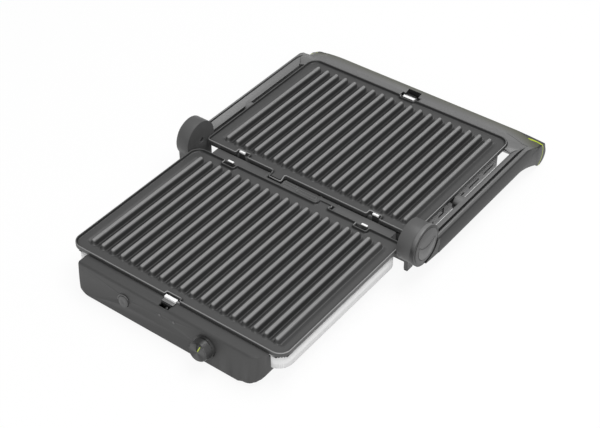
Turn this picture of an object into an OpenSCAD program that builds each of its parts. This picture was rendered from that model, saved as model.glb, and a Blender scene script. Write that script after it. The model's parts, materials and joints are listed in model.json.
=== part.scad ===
// Contact grill (panini press) opened flat, with a hinged handle frame and lift-out plates.
// Millimetres. X runs across the grill, -Y is the front with the controls, +Z is up.
// Each piece is drawn about the hinge line and the plane of the ridge tops, then placed.

/* [Grill plates] */
// Width of a grill plate
plate_w = 292; // [270:1:296]
// Depth of a grill plate, rear rim to front rim
plate_d = 215; // [190:1:240]
// Distance from the hinge line to the rear rim of a plate
plate_gap = 8.7; // [8:0.1:11]
// Corner radius of a plate in plan
plate_corner_r = 14; // [8:1:20]
// Thickness of the rim wall round a plate
rim_t = 2.2; // [1.6:0.1:3]
// How far the rim lies below the ridge tops
rim_drop = 2; // [1:0.5:4]
// How far the flat margin lies below the ridge tops
margin_drop = 5.2; // [4:0.1:7]
// How far the valley floor between ridges lies below the ridge tops
valley_drop = 6.6; // [5:0.1:9]
// Depth of the whole casting below the ridge tops
plate_h = 11; // [10:0.5:14]
// Number of ridges on a plate
ridge_count = 19; // [11:2:21]
// Distance between ridges
ridge_pitch = 14; // [10:0.5:14]
// Length of a ridge
ridge_len = 184; // [120:1:190]
// Width of the flat top of a ridge
ridge_top_w = 4.2; // [2:0.1:6]
// Width of a ridge at its foot
ridge_foot_w = 8.6; // [7:0.1:9.5]
// Sideways offset of the grease spout
spout_x = 37; // [20:1:60]
// Width of the grease spout
spout_w = 18; // [12:1:26]
// How far the spout reaches past the rear rim
spout_reach = 7.4; // [3:0.1:8]

/* [Heater pans] */
// How far a pan stands back from its plate's rims, left and right
pan_side = 6.5; // [4:0.5:12]
// Wall thickness of a heater pan
pan_t = 1.2; // [0.8:0.1:2]
// Outer height of a heater pan
pan_h = 17; // [14:0.5:20]
// How far a pan stands back from the rims of its plate, front and rear
pan_inset = 5.2; // [4:0.2:9]
// Corner radius of a pan in plan
pan_corner_r = 16; // [8:1:24]
// Radius of the heating element's tube
element_r = 3.2; // [2.5:0.1:4]
// Distance of the element's long legs from the middle of the plate
element_half_w = 104; // [70:1:112]
// Half the distance between the element's two long legs
element_half_d = 62; // [40:1:80]
// Inside radius of the element's bends
element_bend = 16; // [12:1:24]

/* [Base] */
// Width of the base housing
base_w = 240; // [220:1:250]
// Height of the ridge tops above the worktop
ridge_z = 49.5; // [48:0.5:60]
// Clear height under the base housing
base_clear = 4.5; // [3:0.5:6]
// Wall thickness of the plastic housings
wall_t = 2.6; // [2:0.1:4]
// Radius of the housing's lower long edges
base_edge_r = 16; // [8:1:20]
// Radius of the housing's upright corners
base_corner_r = 9; // [4:0.5:14]
// Radius of the edge between the control panel and the ledge behind it
crease_r = 3; // [1:0.5:5]
// Distance of the control panel's upper edge in front of the hinge line
panel_top_y = 239; // [236:1:260]
// How far the control panel's upper edge lies below the ridge tops
panel_top_drop = 6.6; // [6:0.1:9]
// Backward lean of the control panel
panel_lean = 7.5; // [0:0.5:15]
// Distance from the hinge line to the back of the base housing
base_back = 7.7; // [6:0.1:8]
// Distance from the hinge line to the back of the hinge wall
yoke_back = 12.4; // [10:0.1:13]
// Radius of a rubber foot
foot_r = 7; // [5:0.5:9]
// Half the length of the rail between the plates
rail_half = 127; // [110:1:135]
// Radius of the cord gland's sleeve
gland_r = 4.6; // [4:0.1:5]

/* [Controls] */
// Sideways position of the thermostat knob
knob_x = 59; // [40:1:80]
// How far the controls' centres lie below the ridge tops
controls_drop = 25; // [22:0.5:30]
// Radius of the thermostat knob
knob_r = 13.5; // [10:0.5:16]
// How far the knob stands out of the panel
knob_h = 13.3; // [9:0.1:18]
// Sideways position of the power button
button_x = -53; // [-80:1:-30]
// Radius of the power button
button_r = 6.6; // [5:0.1:9]
// How far the power button travels
button_travel = 2.5; // [1.5:0.1:4]
// Radius of an indicator lens
lens_r = 1.6; // [1:0.1:3]
// How far the indicator lenses lie below the ridge tops
lens_drop = 17; // [14:0.5:24]

/* [Hinge and handle frame] */
// Height of the hinge axis above the ridge tops
hinge_rise = 0.8; // [0.5:0.1:3]
// Radius of a hinge drum
drum_r = 24.2; // [20:0.1:28]
// Distance from a plate's side to the inner face of a hinge drum
drum_gap = 1.2; // [0.8:0.1:3]
// Width of a hinge drum
drum_w = 17.4; // [14:0.2:20]
// Radius of a hinge pin
hinge_pin_r = 6; // [4:0.1:8]
// Radial running clearance of the pins
pin_fit = 0.05; // [0.02:0.01:0.1]
// Thickness of the frame's end disc on the right hub
disc_t = 5; // [4.6:0.1:7]
// Radius of the frame's end disc on the left hub
small_disc_r = 18.6; // [14:0.2:22]
// Distance from a plate's side to the inner face of an arm
arm_gap = 9; // [6:0.2:11]
// How far the arms' underside lies below the ridge tops
arm_bottom = 26.5; // [22:0.5:30]
// How far the crest of an arm lies below the ridge tops
arm_drop = 3.5; // [3:0.5:6]
// Distance from the hinge line to the grip's inner face
grip_in = 231.6; // [230:0.2:255]
// Clear height under the grip when the grill lies open
grip_clear = 3.2; // [2:0.2:6]
// Radius of the grip's shoulders in front view
shoulder_r = 110; // [80:2:130]
// Radius of the release pad on the right hub
pad_r = 16.5; // [12:0.5:18]
// How far the release pad travels
pad_travel = 1.2; // [0.6:0.1:1.5]
// Radius of the lid's pivot pins
pivot_r = 2.8; // [2:0.1:3]
// Radius of the boss round a pivot on an arm
pivot_boss_r = 8.8; // [6:0.1:11]
// Distance from the hinge line to the lid's pivots
pivot_y = 100.2; // [80:0.2:130]
// How far the lid's pivots lie below the ridge tops
pivot_drop = 15.2; // [15:0.1:17]

/* [Fits] */
// Face gap between pieces that move past each other
gap = 0.4; // [0.3:0.05:0.6]
// Gap between pieces of one body that are set side by side
seat = 0.1; // [0.05:0.05:0.2]
// Gap under a lift-out plate where it rests on its pan
rest_gap = 0.3; // [0.1:0.1:0.5]

/* [Hidden] */

fine = 64;
eps = 0.01;
plate_front = plate_gap + plate_d;
mid_plate_y = -(plate_gap + plate_front) / 2;
pan_w = plate_w - 2 * pan_side;
pan_rear = plate_gap + pan_inset;
pan_front = plate_front - pan_inset;
pan_top = -plate_h - rest_gap;
pan_floor = pan_top - pan_h;
vent_len = 22.5;
vent_pitch = 33;
element_leg_x = 22;
element_leg_y = mid_plate_y + element_half_d;
element_drop = plate_h + gap + element_r;
leg_drop = plate_h + pan_h + 9;
base_bottom = base_clear - ridge_z;
panel_bottom_y = panel_y(-base_bottom);
rim_back = plate_front + gap;
box_back = pan_front + gap;
foot_x = base_w / 2 - 28;
floor_screw_x = base_w / 2 - 24;
gland_x = -70;
lens_x = [-3.2, 16];
switch_drop = wall_t + 2.3 + button_travel + gap;
shaft_r = 3;
drum_in = plate_w / 2 + drum_gap;
drum_out = drum_in + drum_w;
drum_wall = 2.6;
yoke_foot_w = 5;
yoke_foot_x = drum_in + 1 - yoke_foot_w;
arm_in = plate_w / 2 + arm_gap;
arm_start = drum_r + hinge_rise + 1;
cap_in = drum_out + gap;
disc_r = drum_r + 0.8;
hub_face = cap_in + disc_t;
small_hub_face = hub_face - 1.6;
frame_half_w = hub_face + 2;
rib_x = frame_half_w - 4.4;
boss_in = arm_in - 8;
grip_top_r = 10;
grip_top = [grip_in + 9.4, -rim_drop - grip_top_r];
grip_low_r = 12.5;
grip_low = [grip_in + 22.9, grip_clear + grip_low_r - ridge_z];
grip_mid_r = 7;
grip_mid = [grip_in + 25, grip_low[1] + 10.8];
grip_back = grip_low[0] + grip_low_r;
parting_r = 20.2;
parting = [grip_in + 7, grip_low[1] + 4.8];
parting_from = grip_in + 16.4;
shoulder_x = frame_half_w - 57;
trim_t = 1.4;
knob_reach = knob_h * cos(panel_lean) + knob_r * sin(panel_lean);
hinge_y = (panel_y(controls_drop) + knob_reach - grip_back) / 2;
latch_travel = 4;
hook_x = 95;
hook_w = 8;
hook_t = 1.2;
notch_x = 93.5;
notch_w = 16;
notch_d = 7;
catch_w = 16;
catch_top = -rim_drop - 0.8;
slide_w = 12.4;
slide_top = -panel_top_drop + gap;
slide_under = -panel_top_drop - wall_t - seat;
slide_rear = plate_front + 3.6;
slide_front = slide_rear + 5.9;
pocket_front = slide_front + latch_travel + gap;
screw_head_r = 3.4;
pad_floor = hub_face + seat - pad_travel - gap;
hinge_pin_end = pad_floor - gap;

// Moves a piece from the hinge line and ridge plane to its place above the worktop.
module placed() {
    translate([0, hinge_y, ridge_z]) children();
}

// Draws a piece on both sides of the middle plane.
module both_sides() {
    children();
    mirror([1, 0, 0]) children();
}

// Turns a lower-half piece into its upper-half twin behind the hinge line.
module turned_over_to_lid() {
    rotate([0, 0, 180]) children();
}

// A flat plate with round corners, from y0 to y1 and centred across.
module round_plate(w, y0, y1, r) {
    square_d = y1 - y0;
    union() {
        translate([-w / 2 + r, y0]) square([w - 2 * r, square_d]);
        translate([-w / 2, y0 + r]) square([w, square_d - 2 * r]);
        for (x = [-1, 1], y = [y0 + r, y1 - r])
            translate([x * (w / 2 - r), y]) circle(r = r, $fn = fine);
    }
}

// Points of a slot-shaped outline, w wide and len long.
function slot_points(w, len, steps = 8) = [
    for (side = [0, 1], i = [0 : steps])
        let (a = side * 180 + i * 180 / steps)
        [w / 2 * cos(a), (side == 0 ? 1 : -1) * (len - w) / 2 + w / 2 * sin(a)]
];

// A cylinder along X from x0 to x1.
module x_cylinder(r, x0, x1) {
    translate([x0, 0, 0]) rotate([0, 90, 0]) cylinder(r = r, h = x1 - x0, $fn = fine);
}

// Distance of the control panel's face in front of the hinge line, at a depth below the ridge tops.
function panel_y(drop) = panel_top_y + (drop - panel_top_drop) * tan(panel_lean);

// Puts a piece on the control panel: X across, Y up the panel, Z out of it.
module on_panel(x, drop) {
    translate([x, -panel_y(drop), -drop]) rotate([90 - panel_lean, 0, 0]) children();
}

// ---- Plates ----

module ridge() {
    rise = valley_drop + eps;
    foot_len = ridge_len + ridge_foot_w - ridge_top_w;
    translate([0, 0, -valley_drop - eps])
        linear_extrude(height = rise, slices = 1,
                scale = [ridge_top_w / ridge_foot_w, ridge_len / foot_len])
            polygon(slot_points(ridge_foot_w, foot_len));
}

// The lower plate: rim, margin, ridge field, grease spout, hook notches and cast underside.
module grill_plate() {
    field_w = (ridge_count - 1) * ridge_pitch + ridge_foot_w + 6;
    field_d = ridge_len + 12;
    difference() {
        union() {
            translate([0, 0, -plate_h]) linear_extrude(plate_h - rim_drop)
                round_plate(plate_w, -plate_front, -plate_gap, plate_corner_r);
            translate([spout_x - spout_w / 2, -plate_gap - 6, -margin_drop - 2.4])
                cube([spout_w, spout_reach + 6, margin_drop + 2.4 - rim_drop]);
        }
        difference() {
            translate([0, 0, -margin_drop]) linear_extrude(margin_drop)
                round_plate(plate_w - 2 * rim_t, -plate_front + rim_t, -plate_gap - rim_t,
                    plate_corner_r - rim_t);
            // The rim follows the notches of the rear hooks.
            for (s = [-1, 1])
                translate([s * notch_x - notch_w / 2 - rim_t, -plate_gap - notch_d - rim_t, -plate_h])
                    cube([notch_w + 2 * rim_t, notch_d + rim_t, plate_h]);
        }
        translate([-field_w / 2, mid_plate_y - field_d / 2, -valley_drop])
            cube([field_w, field_d, valley_drop]);
        translate([spout_x - spout_w / 2 + 2, -plate_gap - 8, -margin_drop])
            cube([spout_w - 4, spout_reach + 20, margin_drop]);
        // Notches for the rear hooks and the front catch.
        for (s = [-1, 1])
            translate([s * notch_x - notch_w / 2, -plate_gap - notch_d, -plate_h - 1])
                cube([notch_w, notch_d + 4, plate_h + 1]);
        translate([-catch_w / 2 - 1.5, -plate_front - 4, -plate_h - 1])
            cube([catch_w + 3, 5.6, plate_h + 1]);
        // Underside relief that leaves a bearing rim and the element track.
        translate([0, 0, -plate_h - 1]) linear_extrude(2.4)
            difference() {
                round_plate(plate_w - 26, -plate_front + 14, -plate_gap - 14, 8);
                round_plate(2 * element_half_w + 16, mid_plate_y - element_half_d - 8,
                    mid_plate_y + element_half_d + 8, 8);
            }
    }
    for (i = [0 : ridge_count - 1])
        translate([(i - (ridge_count - 1) / 2) * ridge_pitch, mid_plate_y, 0]) ridge();
}

module lower_plate() {
    color("dimgray") placed() grill_plate();
}

module upper_plate() {
    color("dimgray") placed() turned_over_to_lid() grill_plate();
}

// ---- Heater pans and what they hold ----

// Plan outline of a pan, drawn in by m.
module pan_plan(m) {
    round_plate(pan_w - 2 * m, -pan_front + m, -pan_rear - m, pan_corner_r - m);
}

// Ventilation slots along both sides of a pan or cover, h high from level z.
module side_vents(count, z, h, depth) {
    for (side = [-1, 1], k = [0 : count - 1])
        translate([side * pan_w / 2 - depth, -pan_front + 21 + k * vent_pitch, z])
            cube([2 * depth, vent_len, h]);
}

// An open pan, standing in from the pan outline by m.
module pan_shell(m) {
    difference() {
        translate([0, 0, pan_floor]) linear_extrude(pan_h) pan_plan(m);
        translate([0, 0, pan_floor + pan_t]) linear_extrude(pan_h) pan_plan(m + pan_t);
        // Holes for the element's cold ends.
        for (x = [-1, 1])
            translate([x * element_leg_x, element_leg_y, pan_floor - 1])
                cylinder(r = element_r + gap, h = pan_t + 2, $fn = fine);
    }
}

// A quarter bend of the element in the ridge plane, turned by a.
module element_corner(x, y, a) {
    translate([x, y, -element_drop]) rotate([0, 0, a])
        rotate_extrude(angle = 90, $fn = fine) translate([element_bend, 0]) circle(r = element_r, $fn = 32);
}

// A tubular heater: three sides of a rectangle, with both ends turned down through the pan.
module tube_element() {
    w = element_half_w - element_bend;
    d = element_half_d - element_bend;
    down = 9;
    for (s = [-1, 1]) {
        translate([s * element_half_w, mid_plate_y - d, -element_drop]) rotate([-90, 0, 0])
            cylinder(r = element_r, h = 2 * d, $fn = 32);
        element_corner(s * w, mid_plate_y + d, s > 0 ? 0 : 90);
        element_corner(s * w, mid_plate_y - d, s > 0 ? 270 : 180);
        translate([s * (element_leg_x + down), element_leg_y, -element_drop]) rotate([0, s * 90, 0])
            cylinder(r = element_r, h = w - element_leg_x - down, $fn = 32);
        translate([s * (element_leg_x + down), element_leg_y, -element_drop - down])
            rotate([90, 0, 0]) rotate([0, 0, s > 0 ? 90 : 0])
                rotate_extrude(angle = 90, $fn = fine) translate([down, 0]) circle(r = element_r, $fn = 32);
        translate([s * element_leg_x, element_leg_y, -leg_drop])
            cylinder(r = element_r, h = leg_drop - element_drop - down, $fn = 32);
    }
    translate([-w, mid_plate_y - element_half_d, -element_drop]) rotate([0, 90, 0])
        cylinder(r = element_r, h = 2 * w, $fn = 32);
}

// Sheet brackets that hold the element off the pan floor.
module element_clips() {
    bottom = pan_floor + pan_t;
    top = -element_drop - element_r;
    for (s = [-1, 1], k = [-1, 1])
        translate([s * element_half_w, mid_plate_y + k * (element_half_d - element_bend) / 2, 0]) {
            translate([-5, -4, bottom]) cube([10, 8, 1]);
            translate([-1, -4, bottom]) cube([2, 8, top - bottom - seat]);
            translate([-4, -4, top - seat - 1]) cube([8, 8, 1]);
        }
}

// Spring-steel hooks in the notches of a plate, with their legs at the depth y.
module rear_hooks(y) {
    leg_top = -rim_drop - hook_t;
    foot_top = pan_top - seat;
    for (s = [-1, 1])
        translate([s * hook_x - hook_w / 2, 0, 0]) {
            translate([0, y - 2.5, leg_top]) cube([hook_w, 2.5, hook_t]);
            translate([0, y - hook_t, foot_top - hook_t])
                cube([hook_w, hook_t, leg_top - foot_top + 2 * hook_t]);
            translate([0, -pan_rear + seat, foot_top - hook_t])
                cube([hook_w, y + pan_rear - seat, hook_t]);
            translate([0, -pan_rear + seat, foot_top - 9]) cube([hook_w, hook_t, 9]);
        }
}

module lower_pan() {
    color("gainsboro") placed() difference() {
        pan_shell(0);
        side_vents(4, pan_floor + 6, 3, 4);
    }
}

module upper_pan() {
    color("gainsboro") placed() turned_over_to_lid() pan_shell(wall_t + seat);
}

module lower_element() {
    color("dimgray") placed() tube_element();
}

module upper_element() {
    color("dimgray") placed() turned_over_to_lid() tube_element();
}

module lower_element_clips() {
    color("silver") placed() element_clips();
}

module upper_element_clips() {
    color("silver") placed() turned_over_to_lid() element_clips();
}

module lower_plate_clips() {
    color("silver") placed() rear_hooks(1.8 - plate_gap);
}

module upper_plate_clips() {
    color("silver") placed() turned_over_to_lid() rear_hooks(1.4 - pan_rear);
}

// ---- Base ----

// Points of the round edge above the control panel, drawn in by m.
function crease_points(m, steps = 4) =
    let (y = crease_r / cos(panel_lean) - panel_y(panel_top_drop + crease_r))
    [for (i = [0 : steps])
        let (a = 180 - panel_lean - i * (90 - panel_lean) / steps)
        [y + (crease_r - m) * cos(a), -panel_top_drop - crease_r + (crease_r - m) * sin(a)]];

// Side outline of the base housing, as [depth, height] points, drawn in by m.
function base_side_points(m) = [
    [-panel_y(-base_bottom - m) + m, base_bottom + m],
    each crease_points(m),
    [-rim_back - m, -panel_top_drop - m],
    [-rim_back - m, -plate_h - gap - m],
    [-box_back - m, -plate_h - gap - m],
    [-box_back - m, pan_floor - m],
    [base_back - m, pan_floor - m],
    [base_back - m, base_bottom + m]
];

// Front outline of the base housing with its round lower edges, drawn in by m.
module base_front_outline(m) {
    half = base_w / 2 - m;
    r = base_edge_r - m;
    bottom = base_bottom + m;
    union() {
        translate([-half, bottom + r]) square([2 * half, -bottom - r]);
        translate([-half + r, bottom]) square([2 * half - 2 * r, r + 1]);
        for (s = [-1, 1]) translate([s * (half - r), bottom + r]) circle(r = r, $fn = fine);
    }
}

module base_block(m) {
    intersection() {
        rotate([90, 0, 90]) translate([0, 0, -base_w / 2])
            linear_extrude(base_w) polygon(base_side_points(m));
        translate([0, panel_bottom_y, 0]) rotate([90, 0, 0])
            linear_extrude(3 * panel_bottom_y) base_front_outline(m);
        translate([0, 0, base_bottom - 1]) linear_extrude(-base_bottom)
            round_plate(base_w - 2 * m, -panel_bottom_y - 1 + m, base_back + base_corner_r,
                base_corner_r - m);
    }
}

module base_housing() {
    opening_w = base_w - 2 * base_edge_r - 6;
    color("dimgray") placed() difference() {
        base_block(0);
        base_block(wall_t);
        // Access opening in the underside, closed by the floor plate.
        translate([-opening_w / 2, -panel_bottom_y + 8, base_bottom - 1])
            cube([opening_w, panel_bottom_y + base_back - 16, wall_t + 2]);
        // Holes for the controls.
        on_panel(knob_x, controls_drop) translate([0, 0, -8]) cylinder(r = 4.2, h = 16, $fn = fine);
        on_panel(button_x, controls_drop) translate([0, 0, -8])
            cylinder(r = button_r + gap, h = 16, $fn = fine);
        for (x = lens_x) on_panel(x, lens_drop) translate([0, 0, -8])
            cylinder(r = lens_r + seat, h = 16, $fn = fine);
        // Holes for the element ends.
        for (s = [-1, 1]) translate([s * element_leg_x, element_leg_y, pan_floor - wall_t - 1])
            cylinder(r = element_r + 1, h = wall_t + 2, $fn = fine);
        // Pocket for the latch slide in the ledge behind the panel.
        translate([-slide_w / 2 - gap, -pocket_front, -panel_top_drop - wall_t - 1])
            cube([slide_w + 2 * gap, pocket_front - slide_rear + 0.3, wall_t + 2]);
        // Cord hole in the rear wall.
        at_gland() translate([0, 0, base_back - wall_t - 1])
            cylinder(r = gland_r + seat, h = wall_t + 2, $fn = fine);
    }
}

// Plate that closes the underside, with ventilation slots.
module base_floor() {
    floor_w = base_w - 2 * base_edge_r;
    color("dimgray") placed() difference() {
        translate([-floor_w / 2, -panel_bottom_y + 5, base_bottom - 2])
            cube([floor_w, panel_bottom_y + base_back - 10, 2]);
        for (i = [-4 : 4], j = [-1, 1])
            translate([i * 14 - 2, mid_plate_y + j * 35 - 20, base_bottom - 3]) cube([4, 40, 4]);
    }
}

// Rear wall with the two uprights that carry the hinge drums.
module hinge_yoke() {
    wall_top = pan_floor + 2.8;
    ear_bottom = pan_floor - 2.7;
    wall_half = yoke_foot_x + 1;
    foot_d = yoke_back - 0.6;
    color("dimgray") placed() difference() {
        union() {
            translate([-wall_half, base_back, base_bottom])
                cube([2 * wall_half, yoke_back - base_back, wall_top - base_bottom]);
            both_sides() {
                translate([yoke_foot_x, 0.6, -ridge_z + 2])
                    cube([yoke_foot_w, foot_d, wall_top + ridge_z - 2]);
                translate([yoke_foot_x, 0.6, ear_bottom]) cube([drum_w - 1.4, foot_d, 6.5]);
                translate([drum_in, 0.6, ear_bottom]) cube([drum_w - 5.4, 18, 20]);
                translate([0, 0, hinge_rise]) x_cylinder(drum_r, drum_in, drum_out);
            }
            // Cable duct under the left drum.
            translate([-drum_out, -20.4, ear_bottom]) cube([drum_w, 21 + foot_d, 20]);
        }
        both_sides() translate([0, 0, hinge_rise])
            x_cylinder(hinge_pin_r + pin_fit, drum_in + drum_wall, drum_out + 1);
        // Slot where the lead enters the left drum.
        translate([-drum_in - drum_wall - 1, 1.8, -0.8]) rotate([0, 90, 0])
            linear_extrude(drum_wall + 2) polygon(slot_points(6, 7.4));
        at_gland() cylinder(r = gland_r + seat, h = 30, $fn = fine);
    }
}

// Rail between the plates, with a drain notch under each spout and a bead beside it.
module drip_rail() {
    front = plate_gap - 2.4;
    back = plate_gap - 1.5;
    top = -plate_h + 4;
    notch_half = spout_w / 2 + 1.5;
    color("dimgray") placed() difference() {
        union() {
            translate([-rail_half, -front, pan_floor]) cube([2 * rail_half, front + back, top - pan_floor]);
            for (s = [-1, 1], k = [-1, 1])
                translate([s * spout_x + k * (notch_half + 2), -front, top - 0.4]) rotate([-90, 0, 0])
                    cylinder(r = 1.2, h = front + back, $fn = 24);
        }
        translate([-spout_x - notch_half, -1.8, pan_floor + 4]) cube([2 * notch_half, 10, 30]);
        translate([spout_x - notch_half, -7, pan_floor + 4]) cube([2 * notch_half, 9, 30]);
    }
}

// Turns a round piece to run backwards through the rear walls where the lead enters.
module at_gland() {
    translate([gland_x, 0, (pan_floor + base_bottom) / 2]) rotate([-90, 0, 0]) children();
}

// Rubber bush where the supply lead enters the base.
module cord_gland() {
    inner = base_back - wall_t;
    color("black") placed() at_gland() difference() {
        union() {
            translate([0, 0, inner - 1.6]) cylinder(r = gland_r + 1.1, h = 1.5, $fn = fine);
            translate([0, 0, inner - 1]) cylinder(r = gland_r, h = yoke_back - inner + 1.5, $fn = fine);
        }
        translate([0, 0, -5]) cylinder(r = gland_r - 1.2, h = 30, $fn = fine);
    }
}

module terminal_block() {
    color("white") placed() translate([gland_x + 12, -40, base_bottom]) difference() {
        union() {
            cube([34, 14, 9]);
            for (i = [0 : 2]) translate([2 + i * 11, 2, 8.9]) cube([8, 10, 3]);
        }
        for (i = [0 : 2]) translate([6 + i * 11, 7, 6]) cylinder(r = 2, h = 8, $fn = 24);
    }
}

module base_feet() {
    foot_h = base_clear - 2;
    color("black") placed() {
        for (s = [-1, 1]) translate([s * foot_x, -panel_bottom_y + 22, -ridge_z])
            cylinder(r1 = foot_r - 0.8, r2 = foot_r, h = foot_h, $fn = fine);
        both_sides() translate([yoke_foot_x + gap, 0.6 + gap, -ridge_z])
            cube([yoke_foot_w - 2 * gap, yoke_back - 0.6 - 2 * gap, 2]);
    }
}

module base_screws() {
    color("silver") placed() {
        for (s = [-1, 1], k = [-1, 1])
            translate([s * floor_screw_x, mid_plate_y + k * 55, base_bottom - 2.7]) difference() {
                cylinder(r = screw_head_r, h = 0.7, $fn = 32);
                translate([-2.4, -0.4, -0.3]) cube([4.8, 0.8, 0.7]);
                translate([-0.4, -2.4, -0.3]) cube([0.8, 4.8, 0.7]);
            }
    }
}

// ---- Controls ----

module thermostat() {
    color("silver") placed() on_panel(knob_x, controls_drop) difference() {
        union() {
            translate([0, 0, -wall_t - 12.6]) cylinder(r = 11, h = 10, $fn = fine);
            translate([-9, -12, -wall_t - 3.2]) cube([18, 24, 3.1]);
            translate([-3, 7, -wall_t - 11]) cube([6, 5, 8]);
        }
        translate([0, 0, -wall_t - 10]) cylinder(r = shaft_r + pin_fit, h = 20, $fn = fine);
    }
}

module thermostat_shaft() {
    color("silver") placed() on_panel(knob_x, controls_drop) difference() {
        translate([0, 0, -wall_t - 9.8]) cylinder(r = shaft_r, h = wall_t + 17.2, $fn = fine);
        translate([1.8, -4, 1]) cube([4, 8, 10]);
    }
}

module thermostat_knob() {
    color("black") placed() on_panel(knob_x, controls_drop) difference() {
        union() {
            translate([0, 0, 0.5]) cylinder(r = knob_r, h = 3, $fn = fine);
            translate([0, 0, 3.4]) cylinder(r1 = knob_r - 1.2, r2 = knob_r - 2, h = knob_h - 5, $fn = fine);
            translate([0, 0, knob_h - 1.7])
                cylinder(r1 = knob_r - 2, r2 = knob_r - 3.2, h = 1.7, $fn = fine);
        }
        difference() {
            translate([0, 0, -1]) cylinder(r = shaft_r + seat, h = 8.6, $fn = fine);
            translate([1.8 + seat, -4, 1.1]) cube([4, 8, 10]);
        }
        translate([0, 0, -1]) cylinder(r = 6, h = 2.2, $fn = fine);
        translate([-0.7, 2, knob_h - 0.7]) cube([1.4, knob_r, 2]);
    }
}

module knob_pointer() {
    color("yellowgreen") placed() on_panel(knob_x, controls_drop)
        translate([-0.6, 2.1, knob_h - 0.6]) cube([1.2, knob_r - 5.6, 0.8]);
}

module power_switch() {
    color("black") placed() on_panel(button_x, controls_drop) {
        translate([-9, -10, -switch_drop - 6]) cube([18, 20, 6]);
        for (x = [-5, 5]) translate([x - 1, -1.5, -switch_drop - 8.4]) cube([2, 3, 2.5]);
        for (x = [-1, 1]) translate([x * 8.6 - 0.4, -6, -switch_drop - 0.1])
            cube([0.8, 12, switch_drop - wall_t]);
    }
}

module power_button() {
    color("gray") placed() on_panel(button_x, controls_drop) difference() {
        union() {
            translate([0, 0, -wall_t - 1]) cylinder(r = button_r, h = wall_t + 2.6, $fn = fine);
            translate([0, 0, -wall_t - 1.6]) cylinder(r = button_r + 1.2, h = 1.2, $fn = fine);
            translate([0, 0, -wall_t - 2.3]) cylinder(r = 2.4, h = 3, $fn = fine);
        }
        translate([0, 0, 10.2]) sphere(r = 9, $fn = fine);
    }
}

module button_bezel() {
    color("gray") placed() on_panel(button_x, controls_drop) difference() {
        translate([0, 0, seat]) cylinder(r = button_r + 2.2, h = 1, $fn = fine);
        translate([0, 0, -1]) cylinder(r = button_r + gap, h = 4, $fn = fine);
        translate([-12, -20, -1]) rotate([0, 0, 20]) cube([32, 17, 4]);
    }
}

module indicator_lenses() {
    color("gray") placed() for (x = lens_x) on_panel(x, lens_drop) {
        translate([0, 0, -wall_t - 2]) cylinder(r = lens_r, h = wall_t + 2.3, $fn = 32);
    }
}

module indicator_board() {
    color("darkgreen") placed() on_panel((lens_x[0] + lens_x[1]) / 2, lens_drop)
        translate([-16, -6, -wall_t - 3.8]) cube([32, 8, 1.6]);
}

// ---- Plate latches ----

// The bright catch: a flat on the slide, a riser and a tongue into the notch of the plate.
module catch_tab() {
    t = 1;
    riser_y = -plate_front - 2.8;
    translate([-catch_w / 2, riser_y - 4.6, slide_top]) cube([catch_w, 4.6 + t, t]);
    translate([-catch_w / 2, riser_y, slide_top]) cube([catch_w, t, catch_top - slide_top]);
    translate([-catch_w / 2, riser_y, catch_top - t]) cube([catch_w, 4.1, t]);
}

// The black slide that draws the catch away from the plate, with keeper lips and a spring tab.
module latch_slide() {
    len = slide_front - slide_rear;
    translate([-slide_w / 2, -slide_front, -panel_top_drop - wall_t + seat])
        cube([slide_w, len, slide_top + panel_top_drop + wall_t - seat]);
    translate([-slide_w / 2, -slide_front + 1.2, slide_under - 0.9])
        cube([slide_w, len - 1.2, 1.4]);
    translate([-slide_w / 2 - 1, -slide_front + 1.2, slide_under - 0.9])
        cube([slide_w + 2, len - 1.2, 0.8]);
    translate([-slide_w / 2, -slide_front, slide_top - eps]) cube([slide_w, 1.3, 1.4]);
    translate([-3, -slide_rear - 1.6, slide_under - 4.2]) cube([6, 1.6, 3.4]);
}

// Points round the wire of a coil spring, as rings along a helix about Y.
function coil_ring(t, turns, len, r, wire) = [
    for (k = [0 : 5])
        let (a = 360 * turns * t, rr = r + wire / 2 * cos(60 * k))
        [rr * cos(a), t * len + wire / 2 * sin(60 * k), rr * sin(a)]
];

// Coil spring that pushes a latch back towards its plate.
module latch_coil(len, turns = 5, r = 1.2, wire = 0.6) {
    rings = turns * 12;
    points = [for (i = [0 : rings]) each coil_ring(i / rings, turns, len - wire, r, wire)];
    sides = [for (i = [0 : rings - 1], k = [0 : 5], half = [0, 1])
        let (a = i * 6 + k, b = i * 6 + (k + 1) % 6)
        half == 0 ? [a, b, b + 6] : [a, b + 6, a + 6]];
    translate([0, wire / 2, 0])
        polyhedron(points, concat(sides, [[for (k = [5 : -1 : 0]) k], [for (k = [0 : 5]) rings * 6 + k]]));
}

// Guide on the lid's pan that carries the upper latch: floor, cheeks, lips and spring stop.
module upper_latch_bracket() {
    inner = slide_w / 2 + 1 + gap;
    floor_z = slide_under - 5.6;
    top_z = -panel_top_drop - wall_t + 1.4;
    front = pocket_front + 1.2;
    color("black") placed() turned_over_to_lid() {
        translate([-inner - 1, -front, floor_z]) cube([2 * inner + 2, front - pan_front - seat, 1.2]);
        both_sides() {
            translate([inner, -front, floor_z]) cube([1, front - rim_back, top_z - floor_z]);
            translate([inner, -rim_back - eps, floor_z])
                cube([1, rim_back - pan_front - seat + eps, -plate_h - gap - floor_z]);
            translate([slide_w / 2 + gap, -front, slide_under + seat])
                cube([inner - slide_w / 2 - gap + eps, front - rim_back, top_z - slide_under - seat]);
        }
        translate([-inner, -front, floor_z + 1.1]) cube([2 * inner, 1.1, slide_under - floor_z - 1]);
    }
}

module lower_catch() {
    color("silver") placed() catch_tab();
}

module upper_catch() {
    color("silver") placed() turned_over_to_lid() catch_tab();
}

module lower_latch_slide() {
    color("black") placed() latch_slide();
}

module upper_latch_slide() {
    color("black") placed() turned_over_to_lid() latch_slide();
}

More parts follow.
